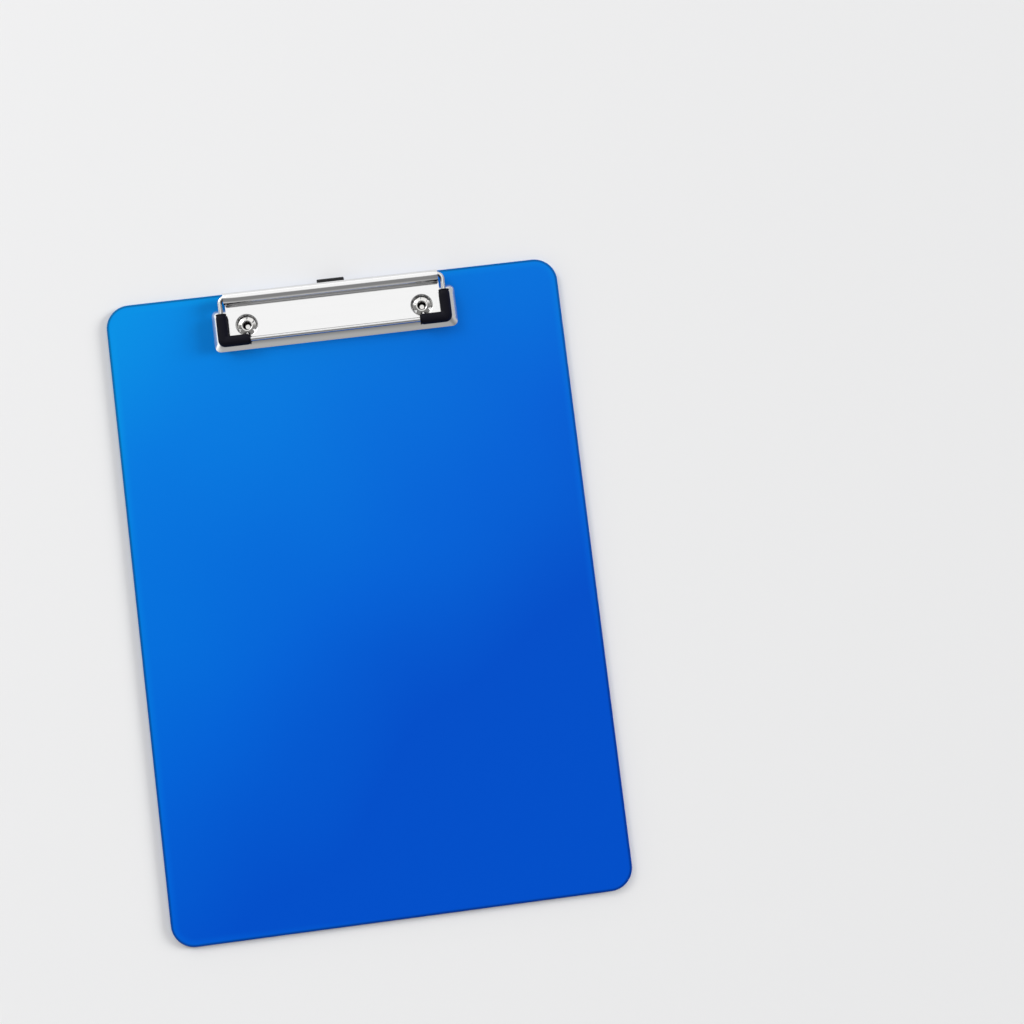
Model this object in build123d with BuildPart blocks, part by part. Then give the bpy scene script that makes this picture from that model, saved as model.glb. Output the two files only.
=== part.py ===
"""A4 clipboard with a low wire-bail clip and a sliding hanging tab, in millimetres.

The board lies on its back. X runs to the right, Y towards the clip, Z up out of the board.
The origin is the centre of the board's back face.
"""
from build123d import *
from math import asin, atan2, cos, degrees, radians, sin
import os

os.makedirs("parts", exist_ok=True)

# Board
board_width = 225
board_length = 315
board_thickness = 2.5
board_corner_radius = 11.5
board_edge_round = 0.7
board_back_chamfer = 0.4

# Clip plate, pressed from one sheet, with sloping skirts that stand on the board
steel = 0.8
clip_width = 121
clip_depth = 28.1
clip_setback = 0.8
plate_lift = 1.6
shoulder_drop = 7.2
shoulder_step = 7.4
side_skirt = 2.7
front_skirt = 3.2
skirt_corner_radius = 3.0
fold_radius = 0.9

# Barrel, the plate's rear edge rolled up and over
barrel_diameter = 6.2
seam_gap = 0.25

# Bail, one bent wire, whose ends lie slanted in the barrel
wire_diameter = 2.3
running_clearance = 0.05
mouth_gap = 0.95
bail_setback = 4.1
mouth_bend_radius = 3.0
corner_bend_radius = 2.2
wire_end_setback = 14.0

# Rubber corner sleeves on the wire
sleeve_width = 5.4
sleeve_gap = 0.1
sleeve_bore_clearance = 0.05
sleeve_leg_length = 16.4
sleeve_run_length = 16.0
sleeve_end_chamfer = 0.4
sleeve_corner_radius = 3.5

# Closed-end eyelets, and the cups that they are clinched in
eyelet_inset = 17.0
eyelet_drop = 16.5
eyelet_diameter = 4.6
eyelet_wall = 0.35
eyelet_floor = 1.2
eyelet_clearance = 0.05
flange_width = 1.9
flange_recess = 0.2
recess_clearance = 0.4
curl_height = 0.95
curl_round = 0.65
curl_steps = 2
curl_width = 1.55
petal_width = 2.25
petal_count = 6
petal_turn = 5
notch_depth = 1.8
notch_width = 1.6
notch_overrun = 0.2
cup_margin = 0.25
cup_wall_run = 1.3
cup_rim_chamfer = 0.3

# Hanger, the sliding hanging tab under the plate
hanger_width = 12.0
hanger_length = 24.0
hanger_clearance = 0.15
hanger_corner_radius = 1.0
ear_reach = 3.0
ear_length = 3.0
eye_diameter = 6.5
eye_margin = 1.6
lip_width = 13.4
lip_thickness = 1.9
lip_height = 3.6
lip_gap = 0.1
lip_round = 0.6
guide_diameter = 3.4
guide_pit_diameter = 1.8
guide_chamfer = 0.5
guide_clearance = 0.25

# Levels and places that follow from the sizes above
top_edge = board_length / 2
plate_underside = board_thickness + plate_lift
plate_top = plate_underside + steel
skirt_rise = plate_lift + steel
clip_rear = top_edge - clip_setback
front_y = clip_rear - clip_depth
shoulder_y = clip_rear - shoulder_drop
barrel_length = clip_width - 2 * shoulder_step
barrel_radius = barrel_diameter / 2
bore_radius = barrel_radius - steel
barrel_y = clip_rear - barrel_radius
barrel_z = plate_underside + barrel_radius
wire_radius = wire_diameter / 2
leg_x = barrel_length / 2 + mouth_gap + wire_radius
bail_y = front_y + bail_setback
wire_offset = bore_radius - wire_radius - running_clearance
sleeve_half_width = sleeve_width / 2
sleeve_half_height = barrel_z - plate_top - sleeve_gap
eyelet_x = clip_width / 2 - eyelet_inset
eyelet_y = clip_rear - eyelet_drop
eyelet_radius = eyelet_diameter / 2
eyelet_hole_radius = eyelet_radius + eyelet_clearance
flange_radius = eyelet_radius + flange_width
petal_reach = eyelet_radius + petal_width
cup_floor_top = board_thickness + steel
cup_floor_radius = petal_reach + cup_margin
guide_x = (hanger_width + guide_diameter) / 2 + guide_clearance
sides = {"left": -1, "right": 1}


def slanted_wall(run, rise):
    """Width of the steel measured level, where it slopes up by rise over run."""
    return steel / sin(atan2(rise, run))


def pan_rectangle(height, inner):
    """The pan's width, length, middle and corner radius at a height above the board."""
    side_in = side_skirt * height / skirt_rise
    front_in = front_skirt * height / skirt_rise
    if inner:
        side_in += slanted_wall(side_skirt, skirt_rise)
        front_in += slanted_wall(front_skirt, skirt_rise)
    width = clip_width - 2 * side_in
    low = front_y + front_in
    high = shoulder_y - side_in
    return width, high - low, (low + high) / 2, skirt_corner_radius - side_in / 2


# Board: a moulded sheet with two eyelet holes, each recessed at the back
with BuildPart() as board:
    with BuildSketch():
        RectangleRounded(board_width, board_length, board_corner_radius)
    extrude(amount=board_thickness)
    fillet(board.faces().sort_by(Axis.Z)[-1].edges(), board_edge_round)
    chamfer(board.faces().sort_by(Axis.Z)[0].edges(), board_back_chamfer)
    for direction in sides.values():
        with Locations(Plane((direction * eyelet_x, eyelet_y, 0), z_dir=(0, 0, -1))):
            CounterBoreHole(
                radius=eyelet_hole_radius,
                counter_bore_radius=flange_radius + recess_clearance,
                counter_bore_depth=flange_recess + eyelet_wall,
                depth=board_thickness,
            )
board.part.label = "board"
export_step(board.part, "parts/board.step")

# Clip plate: the pan, the rolled barrel, the cups and the guides for the hanger
with BuildPart() as clip_plate:
    for height in (0, skirt_rise):
        width, length, middle, corner = pan_rectangle(height, inner=False)
        with BuildSketch(Plane.XY.offset(board_thickness + height)):
            with Locations((0, middle)):
                RectangleRounded(width, length, corner)
    loft(ruled=True)
    fillet(clip_plate.edges().group_by(Axis.Z)[-1], fold_radius)
    for height in (0, plate_lift):
        width, length, middle, corner = pan_rectangle(height, inner=True)
        with BuildSketch(Plane.XY.offset(board_thickness + height)):
            with Locations((0, middle)):
                RectangleRounded(width, length, corner)
    loft(ruled=True, mode=Mode.SUBTRACT)

    # The rear is open between the shoulders, where the plate runs on level to the barrel
    rear_inner_y = shoulder_y - side_skirt - slanted_wall(side_skirt, skirt_rise)
    with BuildSketch(Plane.XY.offset(board_thickness)):
        with Locations((0, (rear_inner_y + clip_rear) / 2)):
            Rectangle(barrel_length, clip_rear - rear_inner_y)
    extrude(amount=plate_lift, mode=Mode.SUBTRACT)

    # The curl turns up at the rear and over, and its edge stops just above the plate
    edge_angle = 180 + degrees(asin((barrel_z - plate_top - seam_gap) / barrel_radius))
    with BuildSketch(Plane.YZ):
        with BuildLine():
            outer = CenterArc((barrel_y, barrel_z), barrel_radius, -90, 90 + edge_angle)
            inner = CenterArc((barrel_y, barrel_z), bore_radius, -90, 90 + edge_angle)
            Line(outer @ 1, inner @ 1)
            Polyline(
                outer @ 0,
                (rear_inner_y, plate_underside),
                (rear_inner_y, plate_top),
                inner @ 0,
            )
        make_face()
    extrude(amount=barrel_length / 2, both=True)

    # Cups: cones pressed down until their floors rest on the board
    cup_wall = slanted_wall(cup_wall_run, plate_lift)
    cup_slope = cup_wall_run / plate_lift
    for direction in sides.values():
        cup_plane = Plane((direction * eyelet_x, eyelet_y, 0), x_dir=(1, 0, 0), z_dir=(0, -1, 0))
        cup_axis = Axis((direction * eyelet_x, eyelet_y, 0), (0, 0, 1))
        with BuildSketch(cup_plane):
            Polygon(
                (0, board_thickness),
                (cup_floor_radius + cup_wall - cup_slope * steel, board_thickness),
                (cup_floor_radius + cup_wall + cup_slope * (plate_lift - steel), plate_underside),
                (0, plate_underside),
                align=None,
            )
        revolve(axis=cup_axis)
        with BuildSketch(cup_plane):
            Polygon(
                (0, cup_floor_top),
                (cup_floor_radius, cup_floor_top),
                (cup_floor_radius + cup_wall_run, plate_top),
                (0, plate_top),
                align=None,
            )
        revolve(axis=cup_axis, mode=Mode.SUBTRACT)
        with Locations((direction * eyelet_x, eyelet_y, cup_floor_top)):
            Hole(eyelet_hole_radius, depth=steel)
    cup_rims = [
        edge
        for edge in clip_plate.edges().filter_by(GeomType.CIRCLE)
        if abs(edge.radius - cup_floor_radius - cup_wall_run) < 0.001
    ]
    chamfer(cup_rims, cup_rim_chamfer)

    # Guides: two dimples pressed down beneath the barrel, one each side of the hanger
    for direction in sides.values():
        guide_at = (direction * guide_x, barrel_y)
        with BuildSketch(Plane.XY.offset(board_thickness + hanger_clearance)):
            with Locations(guide_at):
                Circle(guide_diameter / 2)
        extrude(amount=plate_lift - hanger_clearance + steel)
        with BuildSketch(Plane.XY.offset(board_thickness + hanger_clearance + steel)):
            with Locations(guide_at):
                Circle(guide_pit_diameter / 2)
        extrude(amount=plate_lift + steel, mode=Mode.SUBTRACT)
    guide_feet = [
        edge
        for edge in clip_plate.edges().filter_by(GeomType.CIRCLE)
        if abs(edge.radius - guide_diameter / 2) < 0.001
        and abs(edge.center().Z - board_thickness - hanger_clearance) < 0.001
    ]
    chamfer(guide_feet, guide_chamfer)
clip_plate.part.label = "clip_plate"
export_step(clip_plate.part, "parts/clip_plate.step")

# Bail wire: each end crosses the barrel at a slant, from one side of the bore to the other
right_half = [
    (leg_x, bail_y),
    (leg_x, barrel_y + wire_offset),
    (wire_end_setback, barrel_y - wire_offset),
]
left_half = [(-x, y) for x, y in reversed(right_half)]
half_radii = [corner_bend_radius, mouth_bend_radius]
with BuildPart() as bail_wire:
    with BuildLine(Plane.XY.offset(barrel_z)) as wire_path:
        FilletPolyline(*left_half, *right_half, radius=half_radii[::-1] + half_radii)
    with BuildSketch(Plane(wire_path.line @ 0, z_dir=wire_path.line % 0)):
        Circle(wire_radius)
    sweep()
bail_wire.part.label = "bail_wire"
export_step(bail_wire.part, "parts/bail_wire.step")

# Corner sleeves: mitred rubber elbows, a little flattened, with the outer corner rounded and a hollow
# for the wire's bend
for side, direction in sides.items():
    sleeve_x = direction * leg_x
    elbow_x = direction * (leg_x - corner_bend_radius)
    elbow_y = bail_y + corner_bend_radius
    leg_end_y = bail_y - sleeve_half_width + sleeve_leg_length
    run_end_x = direction * (leg_x + sleeve_half_width - sleeve_run_length)
    corner_x = direction * (leg_x + sleeve_half_width)
    corner_y = bail_y - sleeve_half_width
    hollow_radius = wire_radius + sleeve_bore_clearance
    with BuildPart() as corner_sleeve:
        with BuildLine(Plane.XY.offset(barrel_z)) as sleeve_path:
            Polyline((sleeve_x, leg_end_y), (sleeve_x, bail_y), (run_end_x, bail_y))
        with BuildSketch(Plane(sleeve_path.line @ 0, x_dir=(1, 0, 0), z_dir=sleeve_path.line % 0)):
            SlotOverall(2 * sleeve_half_width, 2 * sleeve_half_height)
        sweep(transition=Transition.RIGHT)
        leg_end = corner_sleeve.faces().sort_by(Axis.Y)[-1]
        run_end = corner_sleeve.faces().sort_by(Axis((0, 0, 0), (-direction, 0, 0)))[-1]
        chamfer(leg_end.edges() + run_end.edges(), sleeve_end_chamfer)
        with BuildSketch(Plane.XY.offset(plate_top)):
            with Locations((corner_x, corner_y)):
                Rectangle(2 * sleeve_corner_radius, 2 * sleeve_corner_radius)
            with Locations((corner_x - direction * sleeve_corner_radius, corner_y + sleeve_corner_radius)):
                Circle(sleeve_corner_radius, mode=Mode.SUBTRACT)
        extrude(amount=3 * sleeve_half_height, mode=Mode.SUBTRACT)
        with BuildSketch(Plane.XZ.offset(-leg_end_y)):
            with Locations((sleeve_x, barrel_z)):
                Circle(hollow_radius)
        extrude(amount=leg_end_y - elbow_y, mode=Mode.SUBTRACT)
        with BuildSketch(Plane.YZ.offset(elbow_x)):
            with Locations((bail_y, barrel_z)):
                Circle(hollow_radius)
        extrude(amount=run_end_x - elbow_x, mode=Mode.SUBTRACT)
        with BuildSketch(Plane.XY.offset(barrel_z - hollow_radius)):
            with Locations((elbow_x, elbow_y)):
                Circle(corner_bend_radius + hollow_radius)
                Circle(corner_bend_radius - hollow_radius, mode=Mode.SUBTRACT)
            with Locations((elbow_x + direction * sleeve_half_width, elbow_y - sleeve_half_width)):
                Rectangle(2 * sleeve_half_width, 2 * sleeve_half_width, mode=Mode.INTERSECT)
        extrude(amount=2 * hollow_radius, mode=Mode.SUBTRACT)
    corner_sleeve.part.label = f"corner_sleeve_{side}"
    export_step(corner_sleeve.part, f"parts/corner_sleeve_{side}.step")

# Eyelets: a flanged head behind the board, and a tube curled over and split into petals in front
for side, direction in sides.items():
    place = (direction * eyelet_x, eyelet_y, 0)
    tube_bore = eyelet_radius - eyelet_wall
    curl_top = cup_floor_top + curl_height
    curl_turns = [radians(90 * step / curl_steps) for step in range(curl_steps, -1, -1)]
    curl = [
        (tube_bore + curl_round * (1 - cos(turn)), curl_top - curl_round * (1 - sin(turn)))
        for turn in curl_turns
    ]
    with BuildPart() as eyelet:
        with BuildSketch(Plane(place, x_dir=(1, 0, 0), z_dir=(0, -1, 0))):
            with BuildLine():
                Polyline(
                    (0, flange_recess),
                    (flange_radius, flange_recess),
                    (flange_radius, flange_recess + eyelet_wall),
                    (eyelet_radius, flange_recess + eyelet_wall),
                    (eyelet_radius, cup_floor_top),
                    (petal_reach, cup_floor_top),
                    (petal_reach, cup_floor_top + eyelet_wall),
                    (tube_bore + curl_width, cup_floor_top + eyelet_wall),
                    *curl,
                    (tube_bore, flange_recess + eyelet_floor),
                    (0, flange_recess + eyelet_floor),
                    close=True,
                )
            make_face()
        revolve(axis=Axis(place, (0, 0, 1)))
        with BuildSketch(Plane.XY.offset(cup_floor_top)):
            with Locations((direction * eyelet_x, eyelet_y)):
                with PolarLocations(petal_reach, petal_count, start_angle=direction * petal_turn):
                    Polygon(
                        (-notch_depth, 0),
                        (notch_overrun, -notch_width / 2),
                        (notch_overrun, notch_width / 2),
                        align=None,
                    )
        extrude(amount=curl_height, mode=Mode.SUBTRACT)
    eyelet.part.label = f"eyelet_{side}"
    export_step(eyelet.part, f"parts/eyelet_{side}.step")

# Hanger: a strip with an eye, a gripping lip outside and two ears that stop at the guides
strip_underside = board_thickness + hanger_clearance
lip_y = clip_rear + lip_gap
tail_y = lip_y + lip_thickness - hanger_length
eye_y = lip_y - eye_margin - eye_diameter / 2
with BuildPart() as hanger:
    with BuildSketch(Plane.XY.offset(strip_underside)) as strip:
        with Locations((0, (tail_y + lip_y) / 2)):
            Rectangle(hanger_width, lip_y - tail_y)
        with Locations((0, tail_y + ear_length / 2)):
            Rectangle(hanger_width + 2 * ear_reach, ear_length)
        fillet(strip.vertices().group_by(Axis.Y)[0], hanger_corner_radius)
        with Locations((0, eye_y)):
            Circle(eye_diameter / 2, mode=Mode.SUBTRACT)
    extrude(amount=plate_lift - 2 * hanger_clearance)
    with BuildSketch(Plane.XY.offset(strip_underside)):
        with Locations((0, lip_y + lip_thickness / 2)):
            Rectangle(lip_width, lip_thickness)
    extrude(amount=lip_height)
    outer_face = hanger.faces().sort_by(Axis.Y)[-1]
    fillet(outer_face.edges(), lip_round)
hanger.part.label = "hanger"
export_step(hanger.part, "parts/hanger.step")
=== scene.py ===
"""Looks of the A4 clipboard with its wire-bail clip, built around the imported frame, in metres."""
from functools import partial
from math import asin, atan, cos, degrees, hypot, pi, radians, sin, sqrt, tan, tanh

import bmesh
import bpy
from mathutils import Matrix, Vector


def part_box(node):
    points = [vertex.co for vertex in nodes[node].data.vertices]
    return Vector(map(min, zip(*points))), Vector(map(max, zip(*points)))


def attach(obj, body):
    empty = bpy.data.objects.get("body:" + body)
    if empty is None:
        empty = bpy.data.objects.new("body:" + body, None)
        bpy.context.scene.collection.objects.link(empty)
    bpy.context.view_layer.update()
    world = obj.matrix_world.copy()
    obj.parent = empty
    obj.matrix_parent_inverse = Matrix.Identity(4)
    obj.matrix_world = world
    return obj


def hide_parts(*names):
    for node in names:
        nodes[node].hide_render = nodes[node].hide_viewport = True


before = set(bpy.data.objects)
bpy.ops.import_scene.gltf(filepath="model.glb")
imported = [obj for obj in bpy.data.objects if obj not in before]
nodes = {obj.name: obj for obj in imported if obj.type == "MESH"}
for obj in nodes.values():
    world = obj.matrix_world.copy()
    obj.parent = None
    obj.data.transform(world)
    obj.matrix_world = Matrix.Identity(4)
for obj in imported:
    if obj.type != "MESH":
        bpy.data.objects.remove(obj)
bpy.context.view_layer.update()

# Lengths are in metres and angles in degrees
mm = 0.001

# Camera, nearly overhead
camera_place = (0.043903, -0.009948, 0.694077)
camera_turn = (3.8118, -2.1627, -7.0875)
camera_lens = 49.219
camera_clip_start = 0.01

# Studio: a pale floor, a bright cap leaning to the rear, a dimmer ring round it and a horizon that
# is brightest on the left and dims to the front, with a fill from the top left and a soft key from
# the right
floor_size = 6.0
floor_gap = 0.2 * mm
floor_colour = (0.87, 0.87, 0.875, 1)
floor_roughness = 0.9
backdrop_light = 0.86
left_light = 1.25
right_light = 0.58
side_span = (-0.5, 0.5)
front_share = 0.5
front_span = (-0.75, -0.2)
ring_light = 0.26
ring_heights = (0.3, 0.55)
cap_light = 1.11
cap_tilt = 36
cap_angles = (38, 29)
fill_place = (-1.8, 1.9, 1.8)
fill_size = 1.2
fill_power = 25.0
key_place = (1.0, 0.15, 0.42)
key_softness = 22
key_strength = 2.15

# Board. A pattern's cells are counted to the metre, here and in the finishes below.
board_corner_radius = 11.5 * mm
# The board's colour stops, from azure where the painted light is strongest to deep blue where it falls
# off
board_colours = (
    (0.0, (0.0, 0.285, 0.8)),
    (0.3, (0.0, 0.2, 0.76)),
    (0.7, (0.0, 0.127, 0.7)),
    (1.0, (0.0, 0.082, 0.61)),
)
board_specular = 0.06
board_index = 1.45
board_roughness = (0.29, 0.32)
board_patch_cells = 90
# Painted light fall-off, from the top left towards the right and the foot, with random clouds in the
# tone
light_falloff_across = 0.5
light_falloff_along = 0.95
cloud_cells = 9
cloud_depth = 0.05
# Painted shade: a dark line just inside the board's rim
rim_line = 0.8 * mm
rim_fade = 0.8 * mm
rim_shade = 0.5
# Painted glow: the colour is a little paler for a few millimetres inside the rim
rim_glow = 4.5 * mm
rim_paling = 0.2

# Plating of the plate, the wire and the eyelets, and the shade painted on them
plate_colour = (0.82, 0.82, 0.82)
plate_roughness = (0.09, 0.15)
wire_colour = (0.76, 0.76, 0.76)
wire_roughness = (0.16, 0.24)
eyelet_colour = (0.78, 0.77, 0.75)
eyelet_roughness = (0.12, 0.22)
rolled_stretch = (0.15, 6, 6)
even_stretch = (1, 1, 1)
line_cells = 260
line_depth = 0.0012 * mm
wave_cells = 45
wave_depth = 0.02 * mm
# Painted shade in the eyelets' cups: dark spots round each eyelet, most towards the rear
cup_shade_reach = 5.5 * mm
cup_shade_fade = 0.4 * mm
mark_cells = 750
mark_front_lift = 0.16
mark_rear_lift = -0.05
mark_levels = (0.42, 0.52)
mark_shade = 0.35
# Painted shade on the wire's flanks and beneath it
flank_levels = (0.2 * mm, 0.95 * mm)
flank_shade = 0.5
# Painted shade inside the eyelets' tubes
tube_shade = 0.02
tube_foot = 0.1 * mm
tube_foot_fade = 0.08 * mm
tube_mouth_fade = 0.3 * mm

# Rubber of the sleeves and plastic of the hanger
rubber_colour = (0.004, 0.004, 0.009)
rubber_specular = 0.12
rubber_roughness = (0.42, 0.6)
rubber_patch_cells = 350
rubber_grain_cells = 2600
rubber_grain_depth = 0.03 * mm
hanger_colour = (0.008, 0.008, 0.01)
hanger_specular = 0.3
hanger_roughness = (0.3, 0.42)
hanger_patch_cells = 400
hanger_grain_cells = 1800
hanger_grain_depth = 0.01 * mm

# What the frame says of each piece
board_low, board_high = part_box("board")
plate_low, plate_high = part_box("clip_plate")
wire_low, wire_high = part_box("bail_wire")
sleeve_low, sleeve_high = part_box("corner_sleeve_right")
eyelet_boxes = {side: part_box(f"eyelet_{side}") for side in ("left", "right")}
sides = {"left": -1, "right": 1}

# Clip plate
steel = 0.8 * mm
clip_width = plate_high.x - plate_low.x
front_y = plate_low.y
clip_rear = plate_high.y
board_top = board_high.z
flat_clearance = 1.6 * mm
shoulder_depth = 7.2 * mm
shoulder_width = 7.4 * mm
plate_top = board_top + flat_clearance + steel
shoulder_y = clip_rear - shoulder_depth
barrel_end = clip_width / 2 - shoulder_width
side_skirt = 3.2 * mm
front_skirt = 3.2 * mm
skirt_corner_radius = 3.0 * mm
fold_radius = 0.9 * mm
cup_floor_top = board_top + steel
cup_floor_radius = 4.65 * mm
cup_rim_radius = 5.1 * mm
cup_rim_bend = 0.8 * mm
cup_rim_leads = (1.1, 0.85)
cup_floor_bend = 0.3 * mm
edge_softness = 0.08 * mm
edge_angle = 60
edge_segments = 2
crease_angle = 35
soft_crease_angle = 50
weld_distance = 0.001 * mm
corner_steps = 8
bend_steps = 6
round_steps = 48
barrel_columns = 16
curl_steps = 44
support = 0.4 * mm

# Barrel and wire
wire_z = (wire_low.z + wire_high.z) / 2
wire_radius = (wire_high.z - wire_low.z) / 2
leg_x = wire_high.x - wire_radius
bail_y = wire_low.y + wire_radius
barrel_radius = plate_high.z - wire_z
barrel_y = clip_rear - barrel_radius
bore_radius = barrel_radius - steel
seam_gap = 0.25 * mm
seam_angle = 180 + degrees(asin((wire_z - plate_top - seam_gap) / barrel_radius))
wire_clearance = 0.05 * mm
wire_offset = bore_radius - wire_radius - wire_clearance
wire_end_setback = 14 * mm
wire_sides = 32
wire_bend_steps = 14
corner_bend_radius = 2.2 * mm
mouth_bend_radius = 3.0 * mm

# Guides for the hanger
guide_x = 7.95 * mm
guide_radius = 1.7 * mm
guide_foot = board_top + 0.15 * mm
guide_round = 0.5 * mm

# Sleeves
sleeve_half_width = sleeve_high.x - leg_x
sleeve_half_height = sleeve_high.z - wire_z
sleeve_leg_end = sleeve_high.y
sleeve_run_end = sleeve_low.x
sleeve_corner_radius = 3.5 * mm
sleeve_end_round = 0.45 * mm
sleeve_clearance = 0.03 * mm
sleeve_bore = wire_radius + sleeve_clearance
mould_ridge = 0.05 * mm
sleeve_swell = 0.006
swell_lobes = 3
swell_drift = 0.8
section_squareness = 3
hoop_sides = 40
lip_steps = 4
arm_rows = 8
elbow_steps = 16
bore_steps = 8

# Eyelets
eyelet_wall = 0.35 * mm
tube_bore = 1.95 * mm
eyelet_clearance = 0.05 * mm
flange_radius = 4.2 * mm
head_level = 0.2 * mm
head_round = 0.12 * mm
tube_floor_radius = 1.15 * mm
tube_floor_bend = 0.1 * mm
tube_waist = 2.0 * mm
tube_waist_bend = 0.3 * mm
tube_mouth_bend = 0.6 * mm
crest_level = cup_floor_top + 0.94 * mm
crest_edge = 2.75 * mm
crest_bend = 0.9 * mm
petal_reach = 4.45 * mm
petal_tip_level = cup_floor_top + eyelet_wall + 0.02 * mm
petal_count = 6
petal_columns = 15
petal_rows = 72
petal_bend_steps = 8
petal_weld = 0.002 * mm
petal_turn = 5
notch_start = 0.72
notch_half_angle = 10.0
tip_round = 0.012
tip_power = 4.0


class Graph:
    """Short calls that add and link the nodes of one tree."""

    def __init__(self, tree):
        self.tree = tree

    def add(self, kind, *values, settings=None, **named):
        """A node, its inputs given in order or by name, each as a value or as another node's output."""
        node = self.tree.nodes.new(kind)
        for name, value in (settings or {}).items():
            setattr(node, name, value)
        inputs = list(enumerate(values))
        inputs += [(name.replace("_", " "), value) for name, value in named.items()]
        for slot, value in inputs:
            if isinstance(value, bpy.types.NodeSocket):
                self.tree.links.new(value, node.inputs[slot])
            else:
                node.inputs[slot].default_value = value
        return node

    def math(self, operation, *values):
        return self.add("ShaderNodeMath", *values, settings={"operation": operation}).outputs[0]

    def vector(self, operation, *values, **named):
        node = self.add("ShaderNodeVectorMath", *values, settings={"operation": operation}, **named)
        return node.outputs["Value" if operation in ("LENGTH", "DOT_PRODUCT") else "Vector"]

    def split(self, vector):
        return self.add("ShaderNodeSeparateXYZ", vector).outputs

    def join(self, x, y, z):
        return self.add("ShaderNodeCombineXYZ", x, y, z).outputs[0]

    def spread(self, source, low, high, start=0.3, end=0.7):
        """A number from low to high as source goes from start to end."""
        return self.add("ShaderNodeMapRange", source, start, end, low, high).outputs["Result"]


def add_camera():
    data = bpy.data.cameras.new("camera")
    data.lens = camera_lens
    data.clip_start = camera_clip_start
    camera = bpy.data.objects.new("camera", data)
    camera.location = camera_place
    camera.rotation_euler = [radians(angle) for angle in camera_turn]
    bpy.context.scene.collection.objects.link(camera)
    bpy.context.scene.camera = camera


def add_world():
    world = bpy.data.worlds.new("studio")
    bpy.context.scene.world = world
    world.use_nodes = True
    world.node_tree.nodes.clear()
    sky = Graph(world.node_tree)
    direction = sky.add("ShaderNodeTexCoord").outputs["Generated"]
    heading = sky.split(direction)
    side = sky.spread(heading["X"], left_light, right_light, *side_span)
    horizon = sky.math("MULTIPLY", side, sky.spread(heading["Y"], front_share, 1.0, *front_span))
    ring = sky.spread(heading["Z"], horizon, ring_light, *ring_heights)
    tilt = radians(cap_tilt)
    towards_cap = sky.vector("DOT_PRODUCT", direction, (0, sin(tilt), cos(tilt)))
    cap_edges = [cos(radians(angle)) for angle in cap_angles]
    cap = sky.spread(towards_cap, 0.0, cap_light - ring_light, *cap_edges)
    glow = sky.add("ShaderNodeBackground", Strength=sky.math("ADD", ring, cap))
    pale = sky.add("ShaderNodeBackground", Strength=backdrop_light)
    for light in (glow, pale):
        light.inputs["Color"].default_value = (1, 1, 1, 1)
    ray = sky.add("ShaderNodeLightPath").outputs["Is Camera Ray"]
    mix = sky.add("ShaderNodeMixShader", ray, glow.outputs[0], pale.outputs[0])
    sky.add("ShaderNodeOutputWorld", mix.outputs[0])


def aim(light, place):
    light.location = place
    light.rotation_euler = (-Vector(place)).to_track_quat("-Z", "Y").to_euler()
    bpy.context.scene.collection.objects.link(light)


def add_lamps():
    fill = bpy.data.lights.new("fill_lamp", "AREA")
    fill.shape = "DISK"
    fill.size = fill_size
    fill.energy = fill_power
    aim(bpy.data.objects.new("fill_lamp", fill), fill_place)
    key = bpy.data.lights.new("low_key", "SUN")
    key.angle = radians(key_softness)
    key.energy = key_strength
    sun = bpy.data.objects.new("low_key", key)
    sun.visible_glossy = False
    aim(sun, key_place)


def add_floor():
    half = floor_size / 2
    corners = [(-half, -half), (half, -half), (half, half), (-half, half)]
    mesh = bpy.data.meshes.new("floor")
    mesh.from_pydata([(x, y, -floor_gap) for x, y in corners], [], [(0, 1, 2, 3)])
    floor = bpy.data.objects.new("floor", mesh)
    bpy.context.scene.collection.objects.link(floor)
    material = bpy.data.materials.new("floor")
    material.use_nodes = True
    surface = material.node_tree.nodes["Principled BSDF"]
    surface.inputs["Base Color"].default_value = floor_colour
    surface.inputs["Roughness"].default_value = floor_roughness
    surface.inputs["Specular IOR Level"].default_value = 0.0
    mesh.materials.append(material)


class Recipe(Graph):
    """A geometry tree with named sizes, run on a piece as a modifier."""

    def __init__(self, name, **sizes):
        super().__init__(bpy.data.node_groups.new(name, "GeometryNodeTree"))
        sockets = self.tree.interface
        sockets.new_socket("Geometry", in_out="INPUT", socket_type="NodeSocketGeometry")
        sockets.new_socket("Geometry", in_out="OUTPUT", socket_type="NodeSocketGeometry")
        kinds = {int: "NodeSocketInt", float: "NodeSocketFloat"}
        self.values = {}
        for size, value in sizes.items():
            kind = kinds.get(type(value), "NodeSocketMaterial")
            socket = sockets.new_socket(size, in_out="INPUT", socket_type=kind)
            self.values[socket.identifier] = value
        self.inputs = self.tree.nodes.new("NodeGroupInput").outputs
        self.shape = self.inputs["Geometry"]

    def finish(self, geometry):
        """Ends the tree with real geometry, smooth and in its material."""
        real = self.add("GeometryNodeRealizeInstances", geometry).outputs[0]
        soft = self.add("GeometryNodeSetShadeSmooth", real).outputs[0]
        dressed = self.add("GeometryNodeSetMaterial", Geometry=soft, Material=self.inputs["material"])
        output = self.tree.nodes.new("NodeGroupOutput")
        self.tree.links.new(dressed.outputs[0], output.inputs["Geometry"])

    def run_on(self, piece):
        modifier = piece.modifiers.new(self.tree.name, "NODES")
        modifier.node_group = self.tree
        for identifier, value in self.values.items():
            modifier[identifier] = value


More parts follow.
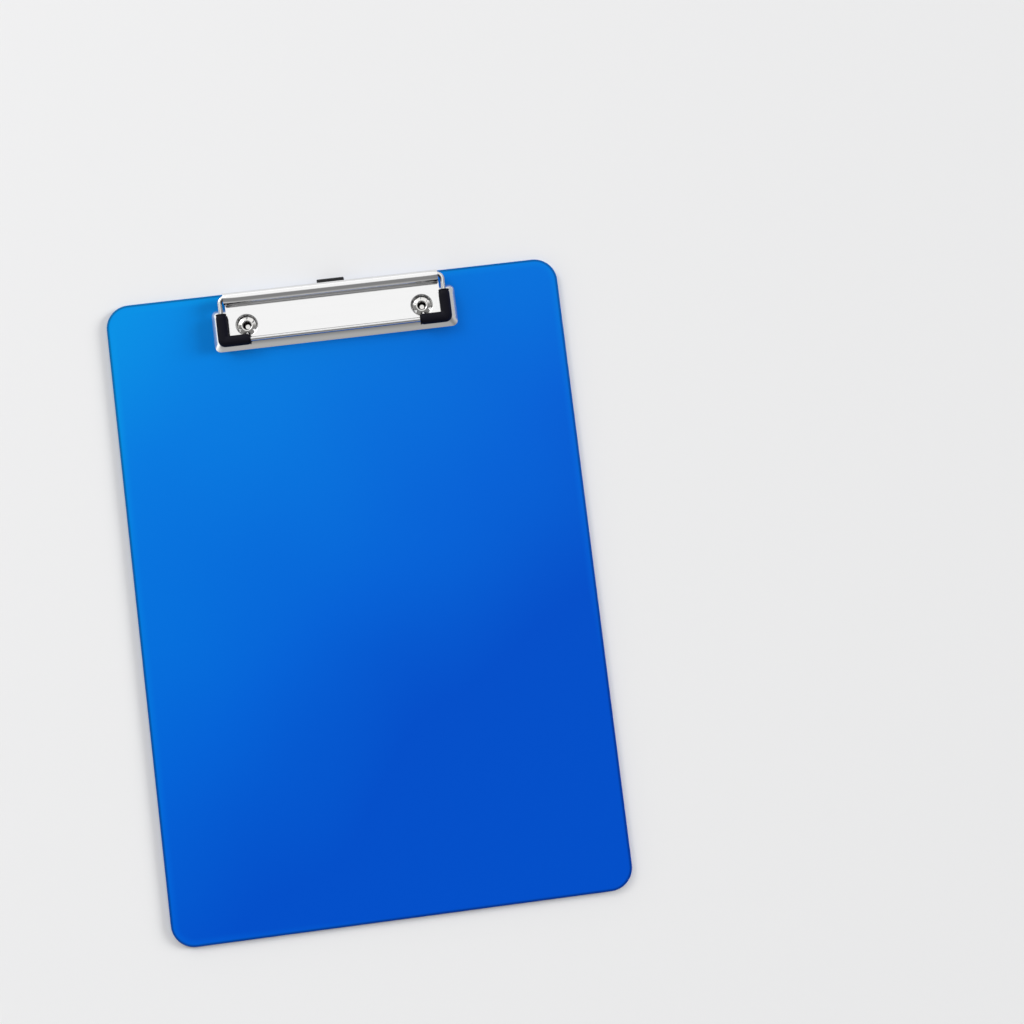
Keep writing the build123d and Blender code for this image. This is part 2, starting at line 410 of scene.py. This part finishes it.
class Finish(Graph):
    """A node material whose pattern reads Object coordinates, with short calls for its usual nodes."""

    def __init__(self, name, **values):
        self.material = bpy.data.materials.new(name)
        self.material.use_nodes = True
        super().__init__(self.material.node_tree)
        self.surface = self.tree.nodes["Principled BSDF"]
        for socket, value in values.items():
            self.surface.inputs[socket.replace("_", " ")].default_value = value
        self.coordinate = self.tree.nodes.new("ShaderNodeTexCoord").outputs["Object"]

    def drive(self, **outputs):
        """Links outputs to the surface's sockets."""
        for socket, output in outputs.items():
            self.tree.links.new(output, self.surface.inputs[socket.replace("_", " ")])

    def noise(self, cells, stretch=even_stretch, detail=2.0):
        """Noise from 0 to 1, with so many cells to the metre, multiplied on each axis by stretch."""
        place = self.vector("MULTIPLY", self.coordinate, stretch)
        return self.add("ShaderNodeTexNoise", place, Scale=cells, Detail=detail).outputs["Fac"]

    def colours(self, source, *stops):
        """A colour ramp with (position, colour) stops."""
        ramp = self.add("ShaderNodeValToRGB", source)
        while len(ramp.color_ramp.elements) < len(stops):
            ramp.color_ramp.elements.new(0.5)
        for element, (position, colour) in zip(ramp.color_ramp.elements, stops):
            element.position = position
            element.color = (*colour, 1)
        return ramp.outputs["Color"]

    def bump(self, *layers):
        """Relief from (height, depth in metres) layers."""
        normal = None
        for height, depth in layers:
            bump = self.add("ShaderNodeBump", Height=height, Distance=depth)
            if normal:
                self.tree.links.new(normal, bump.inputs["Normal"])
            normal = bump.outputs["Normal"]
        self.drive(Normal=normal)


def board_plastic():
    """Clear blue sheet: azure at the top left, deeper to the right and the foot by painted light
    fall-off, a little paler towards its sides by a painted glow inside the rim, with a thin painted
    shade line round its rim."""
    finish = Finish("board_plastic", Specular_IOR_Level=board_specular, IOR=board_index)
    place = finish.split(finish.coordinate)
    # Painted light fall-off across and down the board, plus random clouds in its tone and a painted
    # glow inside the rim
    across = finish.spread(place["X"], 0.0, light_falloff_across, board_low.x, board_high.x)
    down = finish.spread(place["Y"], light_falloff_along, 0.0, board_low.y, board_high.y)
    depth = finish.math("ADD", across, down)
    cloud = finish.spread(finish.noise(cloud_cells, detail=1.0), -cloud_depth, cloud_depth)
    inset = rim_distance(finish, place)
    glow = finish.spread(inset, -rim_paling, 0.0, rim_line, rim_glow)
    depth = finish.math("ADD", depth, finish.math("ADD", cloud, glow))
    body = finish.colours(depth, *board_colours)
    # Painted shade along the rim
    shade = finish.spread(inset, rim_shade, 1.0, rim_line, rim_line + rim_fade)
    finish.drive(Base_Color=finish.vector("SCALE", body, Scale=shade))
    finish.drive(Roughness=finish.spread(finish.noise(board_patch_cells), *board_roughness))
    return finish.material


def rim_distance(finish, place):
    """How far a point of the board lies inside its round-cornered outline."""
    beyond = []
    for axis in range(2):
        half = (board_high[axis] - board_low[axis]) / 2 - board_corner_radius
        beyond.append(finish.math("SUBTRACT", finish.math("ABSOLUTE", place[axis]), half))
    corner = [finish.math("MAXIMUM", distance, 0.0) for distance in beyond]
    outside = finish.vector("LENGTH", finish.join(*corner, 0.0))
    inside = finish.math("MINIMUM", finish.math("MAXIMUM", *beyond), 0.0)
    return finish.math("SUBTRACT", board_corner_radius, finish.math("ADD", outside, inside))


def steel_finish(name, colour, roughness, stretch, painted_shade_by_place):
    """Bright nickel plating with faint lines, its colour darkened by place with painted shade."""
    finish = Finish(name, Base_Color=(*colour, 1), Metallic=1.0)
    shade = painted_shade_by_place(finish, finish.split(finish.coordinate))
    finish.drive(Base_Color=finish.vector("SCALE", colour, Scale=shade))
    lines = finish.noise(line_cells, stretch, detail=3.0)
    finish.drive(Roughness=finish.spread(lines, *roughness))
    wave = finish.noise(wave_cells, detail=1.0)
    finish.bump((wave, wave_depth), (lines, line_depth))
    return finish.material


def cup_painted_shade(finish, place):
    """Painted shade in the cups: dark spots round the eyelets, most towards the rear."""
    low, high = eyelet_boxes["right"]
    centre = (low + high) / 2
    beside = finish.math("SUBTRACT", finish.math("ABSOLUTE", place["X"]), centre.x)
    behind = finish.math("SUBTRACT", place["Y"], centre.y)
    distance = finish.vector("LENGTH", finish.join(beside, behind, 0.0))
    lift = finish.spread(behind, mark_front_lift, mark_rear_lift, -cup_shade_reach, cup_shade_reach)
    spots = finish.math("ADD", finish.noise(mark_cells, detail=1.0), lift)
    mark = finish.spread(spots, mark_shade, 1.0, *mark_levels)
    unshaded = finish.spread(distance, 0.0, 1.0, cup_shade_reach - cup_shade_fade, cup_shade_reach)
    return finish.math("MAXIMUM", mark, unshaded)


def wire_painted_shade(finish, place):
    """The lying wire is darker on its flanks and beneath than along its crown, as painted shade."""
    return finish.spread(place["Z"], flank_shade, 1.0, *(wire_z + level for level in flank_levels))


def tube_painted_shade(finish, place):
    """Painted shade: the tube's wall is dark; its floor and the head are bright."""
    foot = head_level + eyelet_wall + tube_foot
    mouth = cup_floor_top
    bright_head = finish.spread(place["Z"], 1.0, tube_shade, foot, foot + tube_foot_fade)
    bright_crest = finish.spread(place["Z"], tube_shade, 1.0, mouth, mouth + tube_mouth_fade)
    return finish.math("MAXIMUM", bright_head, bright_crest)


def sleeve_rubber():
    body = (*rubber_colour, 1)
    finish = Finish("sleeve_rubber", Base_Color=body, Specular_IOR_Level=rubber_specular)
    finish.drive(Roughness=finish.spread(finish.noise(rubber_patch_cells), *rubber_roughness))
    finish.bump((finish.noise(rubber_grain_cells, detail=3.0), rubber_grain_depth))
    return finish.material


def hanger_plastic():
    body = (*hanger_colour, 1)
    finish = Finish("hanger_plastic", Base_Color=body, Specular_IOR_Level=hanger_specular)
    finish.drive(Roughness=finish.spread(finish.noise(hanger_patch_cells), *hanger_roughness))
    finish.bump((finish.noise(hanger_grain_cells), hanger_grain_depth))
    return finish.material


def rounded(corners, radii):
    """The points of an open outline in a plane, each of its inner corners rounded by its radius."""
    corners = [Vector(corner) for corner in corners]
    points = [corners[0]]
    for before, corner, after, radius in zip(corners, corners[1:], corners[2:], radii):
        if radius == 0:
            points.append(corner)
            continue
        to_start = (before - corner).normalized()
        to_end = (after - corner).normalized()
        half = to_start.angle(to_end) / 2
        centre = corner + (to_start + to_end).normalized() * radius / sin(half)
        start = corner + to_start * radius / tan(half) - centre
        end = corner + to_end * radius / tan(half) - centre
        arc = [start.slerp(end, step / bend_steps).normalized() for step in range(bend_steps + 1)]
        points += [centre + spoke * radius for spoke in arc]
    points.append(corners[-1])
    return points


def new_piece(name, data):
    piece = bpy.data.objects.new(name, data)
    bpy.context.scene.collection.objects.link(piece)
    return piece


def settle(piece, name, crease=crease_angle):
    """A plain mesh piece of what the modifiers of another make, which is then removed."""
    bpy.context.view_layer.update()
    graph = bpy.context.evaluated_depsgraph_get()
    mesh = bpy.data.meshes.new_from_object(piece.evaluated_get(graph), depsgraph=graph)
    mesh.name = name
    for polygon in mesh.polygons:
        polygon.use_smooth = True
    mesh.set_sharp_from_angle(angle=radians(crease))
    bpy.data.objects.remove(piece)
    return new_piece(name, mesh)


def stand_for(piece, body, node):
    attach(piece, body)
    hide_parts(node)


def add_strip(bm, lines):
    """Faces between each line of points and the next, all of the same count."""
    rows = [[bm.verts.new(point) for point in line] for line in lines]
    for row, above in zip(rows, rows[1:]):
        for a, b, c, d in zip(row, row[1:], above[1:], above):
            bm.faces.new((a, b, c, d))
    return rows


def ring(centre, radius, height):
    """A closed line of points round a vertical axis, its last point on its first."""
    turns = [2 * pi * step / round_steps for step in range(round_steps + 1)]
    return [(centre.x + radius * cos(t), centre.y + radius * sin(t), height) for t in turns]


def skirt_section(run):
    """Inset and height of the outer skin, from the skirt's foot, over the fold and onto the flat."""
    rise = plate_top - board_top
    slope = hypot(run, rise)
    near = (fold_radius * tan(atan(rise / run) / 2) + support) / slope
    top = Vector((run, rise))
    below = top * (1 - near)
    after = top + Vector((near * slope, 0))
    beyond = after + Vector((support, 0))
    return rounded([(0, 0), below, top, after, beyond], [0, fold_radius, 0])


def pan_line(side, front):
    """A line round the pan, from one shoulder by the front to the other, at one inset and height of its
    sides and of its front."""
    side_in, side_rise = side
    front_in, front_rise = front
    radius = skirt_corner_radius - side_in / 2
    x = clip_width / 2 - side_in - radius
    rear = shoulder_y - side_in - radius
    low = front_y + front_in + radius
    points = [(-barrel_end, shoulder_y - side_in, board_top + side_rise)]
    for corner_x, corner_y, start in ((-x, rear, 90), (-x, low, 180), (x, low, 270), (x, rear, 0)):
        arc = []
        for step in range(corner_steps + 1):
            turn = radians(start + 90 * step / corner_steps)
            frontness = max(0.0, -sin(turn)) ** 2
            height = board_top + side_rise + (front_rise - side_rise) * frontness
            arc.append(Vector((corner_x + radius * cos(turn), corner_y + radius * sin(turn), height)))
        lead = Vector((-sin(radians(start)), cos(radians(start)), 0)) * support
        tail = Vector((-cos(radians(start)), -sin(radians(start)), 0)) * support
        points += [arc[0] - lead, *arc, arc[-1] + tail]
    points.append((barrel_end, shoulder_y - side_in, board_top + side_rise))
    return points


def clip_plate(material):
    """The pressed plate: its outer skin, line by line, then the sheet's thickness and soft edges."""
    bm = bmesh.new()
    side, front = skirt_section(side_skirt), skirt_section(front_skirt)
    pan = add_strip(bm, [pan_line(a, b) for a, b in zip(side, front)])
    flat_rear = barrel_y - 3 * support
    curl = [radians(-90 + (90 + seam_angle) * step / curl_steps) for step in range(curl_steps + 1)]
    section = [(flat_rear, plate_top), (barrel_y - support, plate_top)]
    section += [(barrel_y + bore_radius * cos(t), wire_z + bore_radius * sin(t)) for t in curl]
    columns = [barrel_end * (2 * step / barrel_columns - 1) for step in range(barrel_columns + 1)]
    rolled = add_strip(bm, [[(x, y, z) for x in columns] for y, z in section])
    for end in (0, -1):
        bm.edges.new((pan[-3][end], rolled[0][end]))
    for box in eyelet_boxes.values():
        centre = (box[0] + box[1]) / 2
        corners = [(cup_rim_radius + lead * cup_rim_bend, plate_top) for lead in cup_rim_leads]
        corners += [
            (cup_rim_radius, plate_top),
            (cup_floor_radius, cup_floor_top),
            (cup_floor_radius - cup_floor_bend - support, cup_floor_top),
            (tube_bore + eyelet_wall + eyelet_clearance, cup_floor_top),
        ]
        profile = rounded(corners, [0, cup_rim_bend, cup_floor_bend, 0])
        add_strip(bm, [ring(centre, radius, height) for radius, height in profile])
    bmesh.ops.remove_doubles(bm, verts=bm.verts, dist=weld_distance)
    flat_edges = [
        edge
        for edge in bm.edges
        if len(edge.link_faces) < 2
        and all(abs(v.co.z - plate_top) < weld_distance for v in edge.verts)
        and all(v.co.y < flat_rear + weld_distance for v in edge.verts)
    ]
    bmesh.ops.triangle_fill(bm, edges=flat_edges, use_beauty=True, normal=(0, 0, 1))
    bmesh.ops.recalc_face_normals(bm, faces=bm.faces)
    top = max(bm.faces, key=lambda face: face.calc_area() if abs(face.normal.z) > 0.99 else 0)
    if top.normal.z < 0:
        bmesh.ops.reverse_faces(bm, faces=bm.faces)
    mesh = bpy.data.meshes.new("clip_plate_skin")
    bm.to_mesh(mesh)
    bm.free()
    mesh.materials.append(material)
    skin = new_piece("clip_plate_skin", mesh)
    wall = skin.modifiers.new("wall", "SOLIDIFY")
    wall.thickness = steel
    wall.offset = -1
    wall.use_even_offset = True
    wall.use_quality_normals = True
    softened = skin.modifiers.new("softened", "BEVEL")
    softened.width = edge_softness
    softened.segments = edge_segments
    softened.limit_method = "ANGLE"
    softened.angle_limit = radians(edge_angle)
    piece = settle(skin, "pressed_clip_plate")
    guide_head = plate_top - steel / 2
    guide = [(0, guide_foot), (guide_radius, guide_foot), (guide_radius, guide_head), (0, guide_head)]
    for direction in sides.values():
        add_turned(piece.data, Vector((direction * guide_x, barrel_y)), guide, [guide_round, 0])
    stand_for(piece, "base", "clip_plate")


def add_turned(mesh, centre, corners, radii):
    """Adds a closed turned body to a mesh, from its half outline of radius and height."""
    bm = bmesh.new()
    outline = rounded(corners, radii)
    add_strip(bm, [ring(centre, radius, height) for radius, height in outline])
    bmesh.ops.remove_doubles(bm, verts=bm.verts, dist=weld_distance)
    bmesh.ops.recalc_face_normals(bm, faces=bm.faces)
    for face in bm.faces:
        face.smooth = True
    bm.from_mesh(mesh)
    bm.to_mesh(mesh)
    bm.free()
    mesh.set_sharp_from_angle(angle=radians(crease_angle))


def bent_line(name, corners):
    """A curve of straight runs, with each corner's bend radius kept as the point's radius."""
    curve = bpy.data.curves.new(name, "CURVE")
    curve.dimensions = "3D"
    spline = curve.splines.new("POLY")
    spline.points.add(len(corners) - 1)
    for point, (place, bend) in zip(spline.points, corners):
        point.co = (*place, 1)
        point.radius = bend
    return new_piece(name, curve)


def bent(recipe, steps):
    """The recipe's line with its corners rounded by their bend radii."""
    bend = recipe.add("GeometryNodeInputRadius").outputs[0]
    rounding = recipe.add(
        "GeometryNodeFilletCurve", recipe.shape, steps, bend, True, settings={"mode": "POLY"}
    )
    return recipe.add("GeometryNodeSetCurveRadius", Curve=rounding.outputs[0], Radius=1.0).outputs[0]


def bail_wire(material):
    """One spring wire: slanted ends in the barrel, a leg down each side and a run across the front."""
    recipe = Recipe(
        "drawn_wire",
        thickness=2 * wire_radius,
        sides=wire_sides,
        bend_steps=wire_bend_steps,
        material=material,
    )
    line = bent(recipe, recipe.inputs["bend_steps"])
    half = recipe.math("DIVIDE", recipe.inputs["thickness"], 2.0)
    section = recipe.add(
        "GeometryNodeCurvePrimitiveCircle", Resolution=recipe.inputs["sides"], Radius=half
    ).outputs["Curve"]
    wire = recipe.add("GeometryNodeCurveToMesh", line, section, Fill_Caps=True).outputs[0]
    recipe.finish(wire)
    right = [
        ((leg_x, bail_y, wire_z), corner_bend_radius),
        ((leg_x, barrel_y + wire_offset, wire_z), mouth_bend_radius),
        ((wire_end_setback, barrel_y - wire_offset, wire_z), 0.0),
    ]
    left = [((-x, y, z), bend) for (x, y, z), bend in reversed(right)]
    line = bent_line("bail_line", left + right)
    recipe.run_on(line)
    piece = settle(line, "spring_wire")
    stand_for(piece, "bail", "bail_wire")


def sleeve_reach(turn):
    """From the elbow's inner corner to its rounded outer outline, at an angle from the leg's side."""
    turn = min(turn, pi / 2 - turn)
    side = 2 * sleeve_half_width
    centre = side - sleeve_corner_radius
    if tan(turn) * side < centre:
        return side / cos(turn)
    along = centre * (cos(turn) + sin(turn))
    return along + sqrt(sleeve_corner_radius**2 - 2 * centre**2 + along**2)


def sleeve_hoop(centre, across, half_width, half_height=sleeve_half_height, ridge=0.0, wobble=0.0):
    """A hoop round the sleeve, with the mould's parting ridge at its sides."""
    points = []
    for step in range(hoop_sides + 1):
        turn = 2 * pi * step / hoop_sides
        swell = 1 - sleeve_swell * (1 + sin(swell_lobes * turn + wobble))
        stand_out = ridge if step in (0, hoop_sides // 2, hoop_sides) else 0
        flat = (half_width - half_height) * tanh(section_squareness * cos(turn))
        x, y = across * ((half_height * swell + stand_out) * cos(turn) + flat)
        points.append((centre.x + x, centre.y + y, wire_z + half_height * swell * sin(turn)))
    return points


def corner_sleeve(side, material):
    """A rubber elbow on the wire's corner, open at both ends, with its bore along the wire."""
    pivot = Vector((leg_x - sleeve_half_width, bail_y + sleeve_half_width))
    end_steps = [radians(90 * step / lip_steps) for step in range(lip_steps + 1)]
    lip = [
        (sleeve_end_round * (1 - sin(turn)), sleeve_end_round * (1 - cos(turn)))
        for turn in reversed(end_steps)
    ]
    half_sizes = [(sleeve_half_width - taper, sleeve_half_height - taper) for taper, along in lip]
    hoops = []
    across, down = Vector((1, 0)), Vector((0, -1))
    body_hoop = partial(sleeve_hoop, ridge=mould_ridge)
    leg_length = sleeve_leg_end - pivot.y
    leg_axis = Vector((leg_x, sleeve_leg_end))
    for (taper, along), halves in zip(lip, half_sizes):
        hoops.append(sleeve_hoop(leg_axis + down * along, across, *halves))
    for step in range(1, arm_rows + 1):
        along = sleeve_end_round + (leg_length - sleeve_end_round) * step / arm_rows
        centre = leg_axis + down * along
        hoops.append(body_hoop(centre, across, sleeve_half_width, wobble=swell_drift * step))
    elbow_wobble = swell_drift * arm_rows
    for step in range(1, elbow_steps):
        turn = pi / 2 * step / elbow_steps
        outward = Vector((cos(turn), -sin(turn)))
        half = sleeve_reach(turn) / 2
        hoops.append(body_hoop(pivot + outward * half, outward, half, wobble=elbow_wobble))
    run_axis = Vector((sleeve_run_end, bail_y))
    run_length = pivot.x - sleeve_run_end
    for step in range(arm_rows):
        along = run_length - (run_length - sleeve_end_round) * step / arm_rows
        centre = run_axis + Vector((along, 0))
        wobble = elbow_wobble - swell_drift * step
        hoops.append(body_hoop(centre, down, sleeve_half_width, wobble=wobble))
    for (taper, along), halves in reversed(list(zip(lip, half_sizes))):
        hoops.append(sleeve_hoop(run_axis + Vector((along, 0)), down, *halves))
    elbow = Vector((leg_x - corner_bend_radius, bail_y + corner_bend_radius))
    bore = [(run_axis, down), (Vector((elbow.x, bail_y)), down)]
    for step in range(bore_steps + 1):
        turn = pi / 2 * (1 - step / bore_steps)
        outward = Vector((cos(turn), -sin(turn)))
        bore.append((elbow + outward * corner_bend_radius, outward))
    bore.append((leg_axis, across))
    hoops += [sleeve_hoop(centre, outward, sleeve_bore, sleeve_bore) for centre, outward in bore]
    hoops.append(hoops[0])
    bm = bmesh.new()
    add_strip(bm, hoops)
    bmesh.ops.remove_doubles(bm, verts=bm.verts, dist=weld_distance)
    bm.transform(Matrix.Diagonal((sides[side], 1, 1, 1)))
    bmesh.ops.recalc_face_normals(bm, faces=bm.faces)
    mesh = bpy.data.meshes.new(f"rubber_sleeve_{side}")
    bm.to_mesh(mesh)
    bm.free()
    mesh.materials.append(material)
    for polygon in mesh.polygons:
        polygon.use_smooth = True
    mesh.set_sharp_from_angle(angle=radians(soft_crease_angle))
    piece = new_piece(mesh.name, mesh)
    stand_for(piece, "bail", f"corner_sleeve_{side}")


def eyelet_recipe(material):
    """A petal's grid laid on the eyelet's profile, and turned round its axis once for each petal."""
    recipe = Recipe(
        "split_eyelet",
        petals=petal_count,
        notch_start=notch_start,
        notch_angle=radians(notch_half_angle),
        tip_round=tip_round,
        bend_steps=petal_bend_steps,
        material=material,
    )
    inputs = recipe.inputs
    profile = bent(recipe, inputs["bend_steps"])
    grid = recipe.add("GeometryNodeMeshGrid", 1.0, 1.0, petal_columns, petal_rows).outputs["Mesh"]
    place = recipe.split(recipe.add("GeometryNodeInputPosition").outputs[0])
    side = recipe.math("MULTIPLY", place["X"], 2.0)
    along = recipe.math("ADD", place["Y"], 0.5)
    notched = recipe.spread(along, 0.0, 1.0, inputs["notch_start"], 1.0)
    rounding = recipe.math("MULTIPLY", notched, inputs["tip_round"])
    tip = recipe.math("MULTIPLY", recipe.math("POWER", side, tip_power), rounding)
    reach = recipe.math("MULTIPLY", along, recipe.math("SUBTRACT", 1.0, tip))
    skin = recipe.add(
        "GeometryNodeSampleCurve", Curves=profile, Factor=reach, settings={"mode": "FACTOR"}
    )
    spot = recipe.split(skin.outputs["Position"])
    pitch = recipe.math("DIVIDE", pi, inputs["petals"])
    notch = recipe.math("MULTIPLY", notched, inputs["notch_angle"])
    angle = recipe.math("MULTIPLY", side, recipe.math("SUBTRACT", pitch, notch))
    across = recipe.math("MULTIPLY", spot["X"], recipe.math("SINE", angle))
    out = recipe.math("MULTIPLY", spot["X"], recipe.math("COSINE", angle))
    bent_place = recipe.join(out, across, spot["Z"])
    petal = recipe.add("GeometryNodeSetPosition", Geometry=grid, Position=bent_place).outputs[0]
    axis = recipe.add("GeometryNodePoints", inputs["petals"]).outputs[0]
    number = recipe.add("GeometryNodeInputIndex").outputs[0]
    turn = recipe.math("MULTIPLY", number, recipe.math("MULTIPLY", pitch, 2.0))
    heading = recipe.join(0.0, 0.0, turn)
    petals = recipe.add(
        "GeometryNodeInstanceOnPoints", Points=axis, Instance=petal, Rotation=heading
    ).outputs[0]
    whole = recipe.add("GeometryNodeRealizeInstances", petals).outputs[0]
    recipe.finish(
        recipe.add("GeometryNodeMergeByDistance", Geometry=whole, Distance=petal_weld).outputs[0]
    )
    return recipe


def eyelet(side, recipe):
    """A closed-end eyelet: a flat head behind the board, and a tube splayed into petals in the cup."""
    head_top = head_level + eyelet_wall
    floor = head_top + eyelet_clearance
    corners = [
        ((0, 0, floor), 0.0),
        ((tube_floor_radius, 0, floor), tube_floor_bend),
        ((tube_bore, 0, tube_waist), tube_waist_bend),
        ((tube_bore, 0, crest_level), tube_mouth_bend),
        ((crest_edge, 0, crest_level), crest_bend),
        ((petal_reach, 0, petal_tip_level), 0.0),
    ]
    line = bent_line(f"eyelet_line_{side}", corners)
    recipe.run_on(line)
    low, high = eyelet_boxes[side]
    whole = settle(line, f"eyelet_skin_{side}")
    wall = whole.modifiers.new("wall", "SOLIDIFY")
    wall.thickness = eyelet_wall
    wall.offset = -1
    wall.use_even_offset = True
    bm = bmesh.new()
    bm.from_mesh(whole.data)
    bmesh.ops.recalc_face_normals(bm, faces=bm.faces)
    crest = max(bm.faces, key=lambda face: face.calc_center_median().z)
    if crest.normal.z < 0:
        bmesh.ops.reverse_faces(bm, faces=bm.faces)
    bm.to_mesh(whole.data)
    bm.free()
    piece = settle(whole, f"split_eyelet_{side}", crease=soft_crease_angle)
    turn = Matrix.Rotation(radians(sides[side] * petal_turn), 4, "Z")
    centre = (low + high) / 2
    piece.data.transform(Matrix.Translation((centre.x, centre.y, 0)) @ turn)
    head = [(0, head_level), (flange_radius, head_level), (flange_radius, head_top), (0, head_top)]
    add_turned(piece.data, centre, head, [head_round, head_round])
    stand_for(piece, "base", f"eyelet_{side}")


def dress(node, material):
    mesh = nodes[node].data
    mesh.materials.clear()
    mesh.materials.append(material)


add_camera()
add_world()
add_lamps()
add_floor()

dress("board", board_plastic())
dress("hanger", hanger_plastic())
clip_plate(steel_finish("plated_steel", plate_colour, plate_roughness, rolled_stretch, cup_painted_shade))
bail_wire(steel_finish("plated_wire", wire_colour, wire_roughness, even_stretch, wire_painted_shade))
rubber = sleeve_rubber()
split_eyelet = eyelet_recipe(
    steel_finish("eyelet_steel", eyelet_colour, eyelet_roughness, even_stretch, tube_painted_shade)
)
for side in sides:
    corner_sleeve(side, rubber)
    eyelet(side, split_eyelet)

scene = bpy.context.scene
scene.view_settings.view_transform = "Standard"
